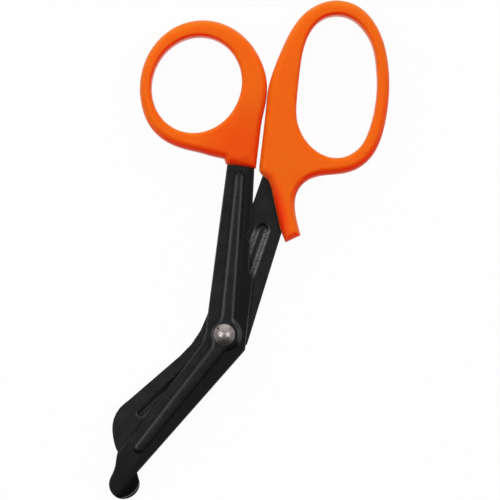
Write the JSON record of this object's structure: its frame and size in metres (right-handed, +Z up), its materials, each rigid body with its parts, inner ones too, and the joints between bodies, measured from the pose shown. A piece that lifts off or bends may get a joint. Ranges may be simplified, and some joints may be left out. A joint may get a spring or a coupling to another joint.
{
  "type": "trauma shears",
  "caption": "Angled trauma shears with a folded foot at the tip, bead-stiffened steel blades on a domed rivet, and moulded handles with a round thumb loop and a long finger loop.",
  "frame": {"origin": "on the surface that the shears lie on, under the middle of their closed outline", "axes": "+Z up from the surface towards the front with the domed rivet head, +Y from the tips towards the handles, +X towards the finger loop"},
  "size_m": [0.0982, 0.1746, 0.01],
  "materials": {
    "blade_coating": "stamped sheet steel with a thin satin black non-stick coating",
    "handle_plastic": "orange moulded plastic, semi-gloss, smooth, with crowned edges",
    "rivet_steel": "bare headed steel, lightly scratched"
  },
  "bodies": {
    "front": {"front_blade": "blade_coating", "thumb_handle": "handle_plastic", "pivot_rivet": "rivet_steel"},
    "rear": {"rear_blade": "blade_coating", "finger_handle": "handle_plastic"}
  },
  "joints": [
    {"name": "shears_pivot", "type": "hinge", "parent": "front", "child": "rear", "pos_m": [-0.0087, -0.02956, 0.005], "axis": [0, 0, -1], "range_deg": [0, 170]}
  ]
}
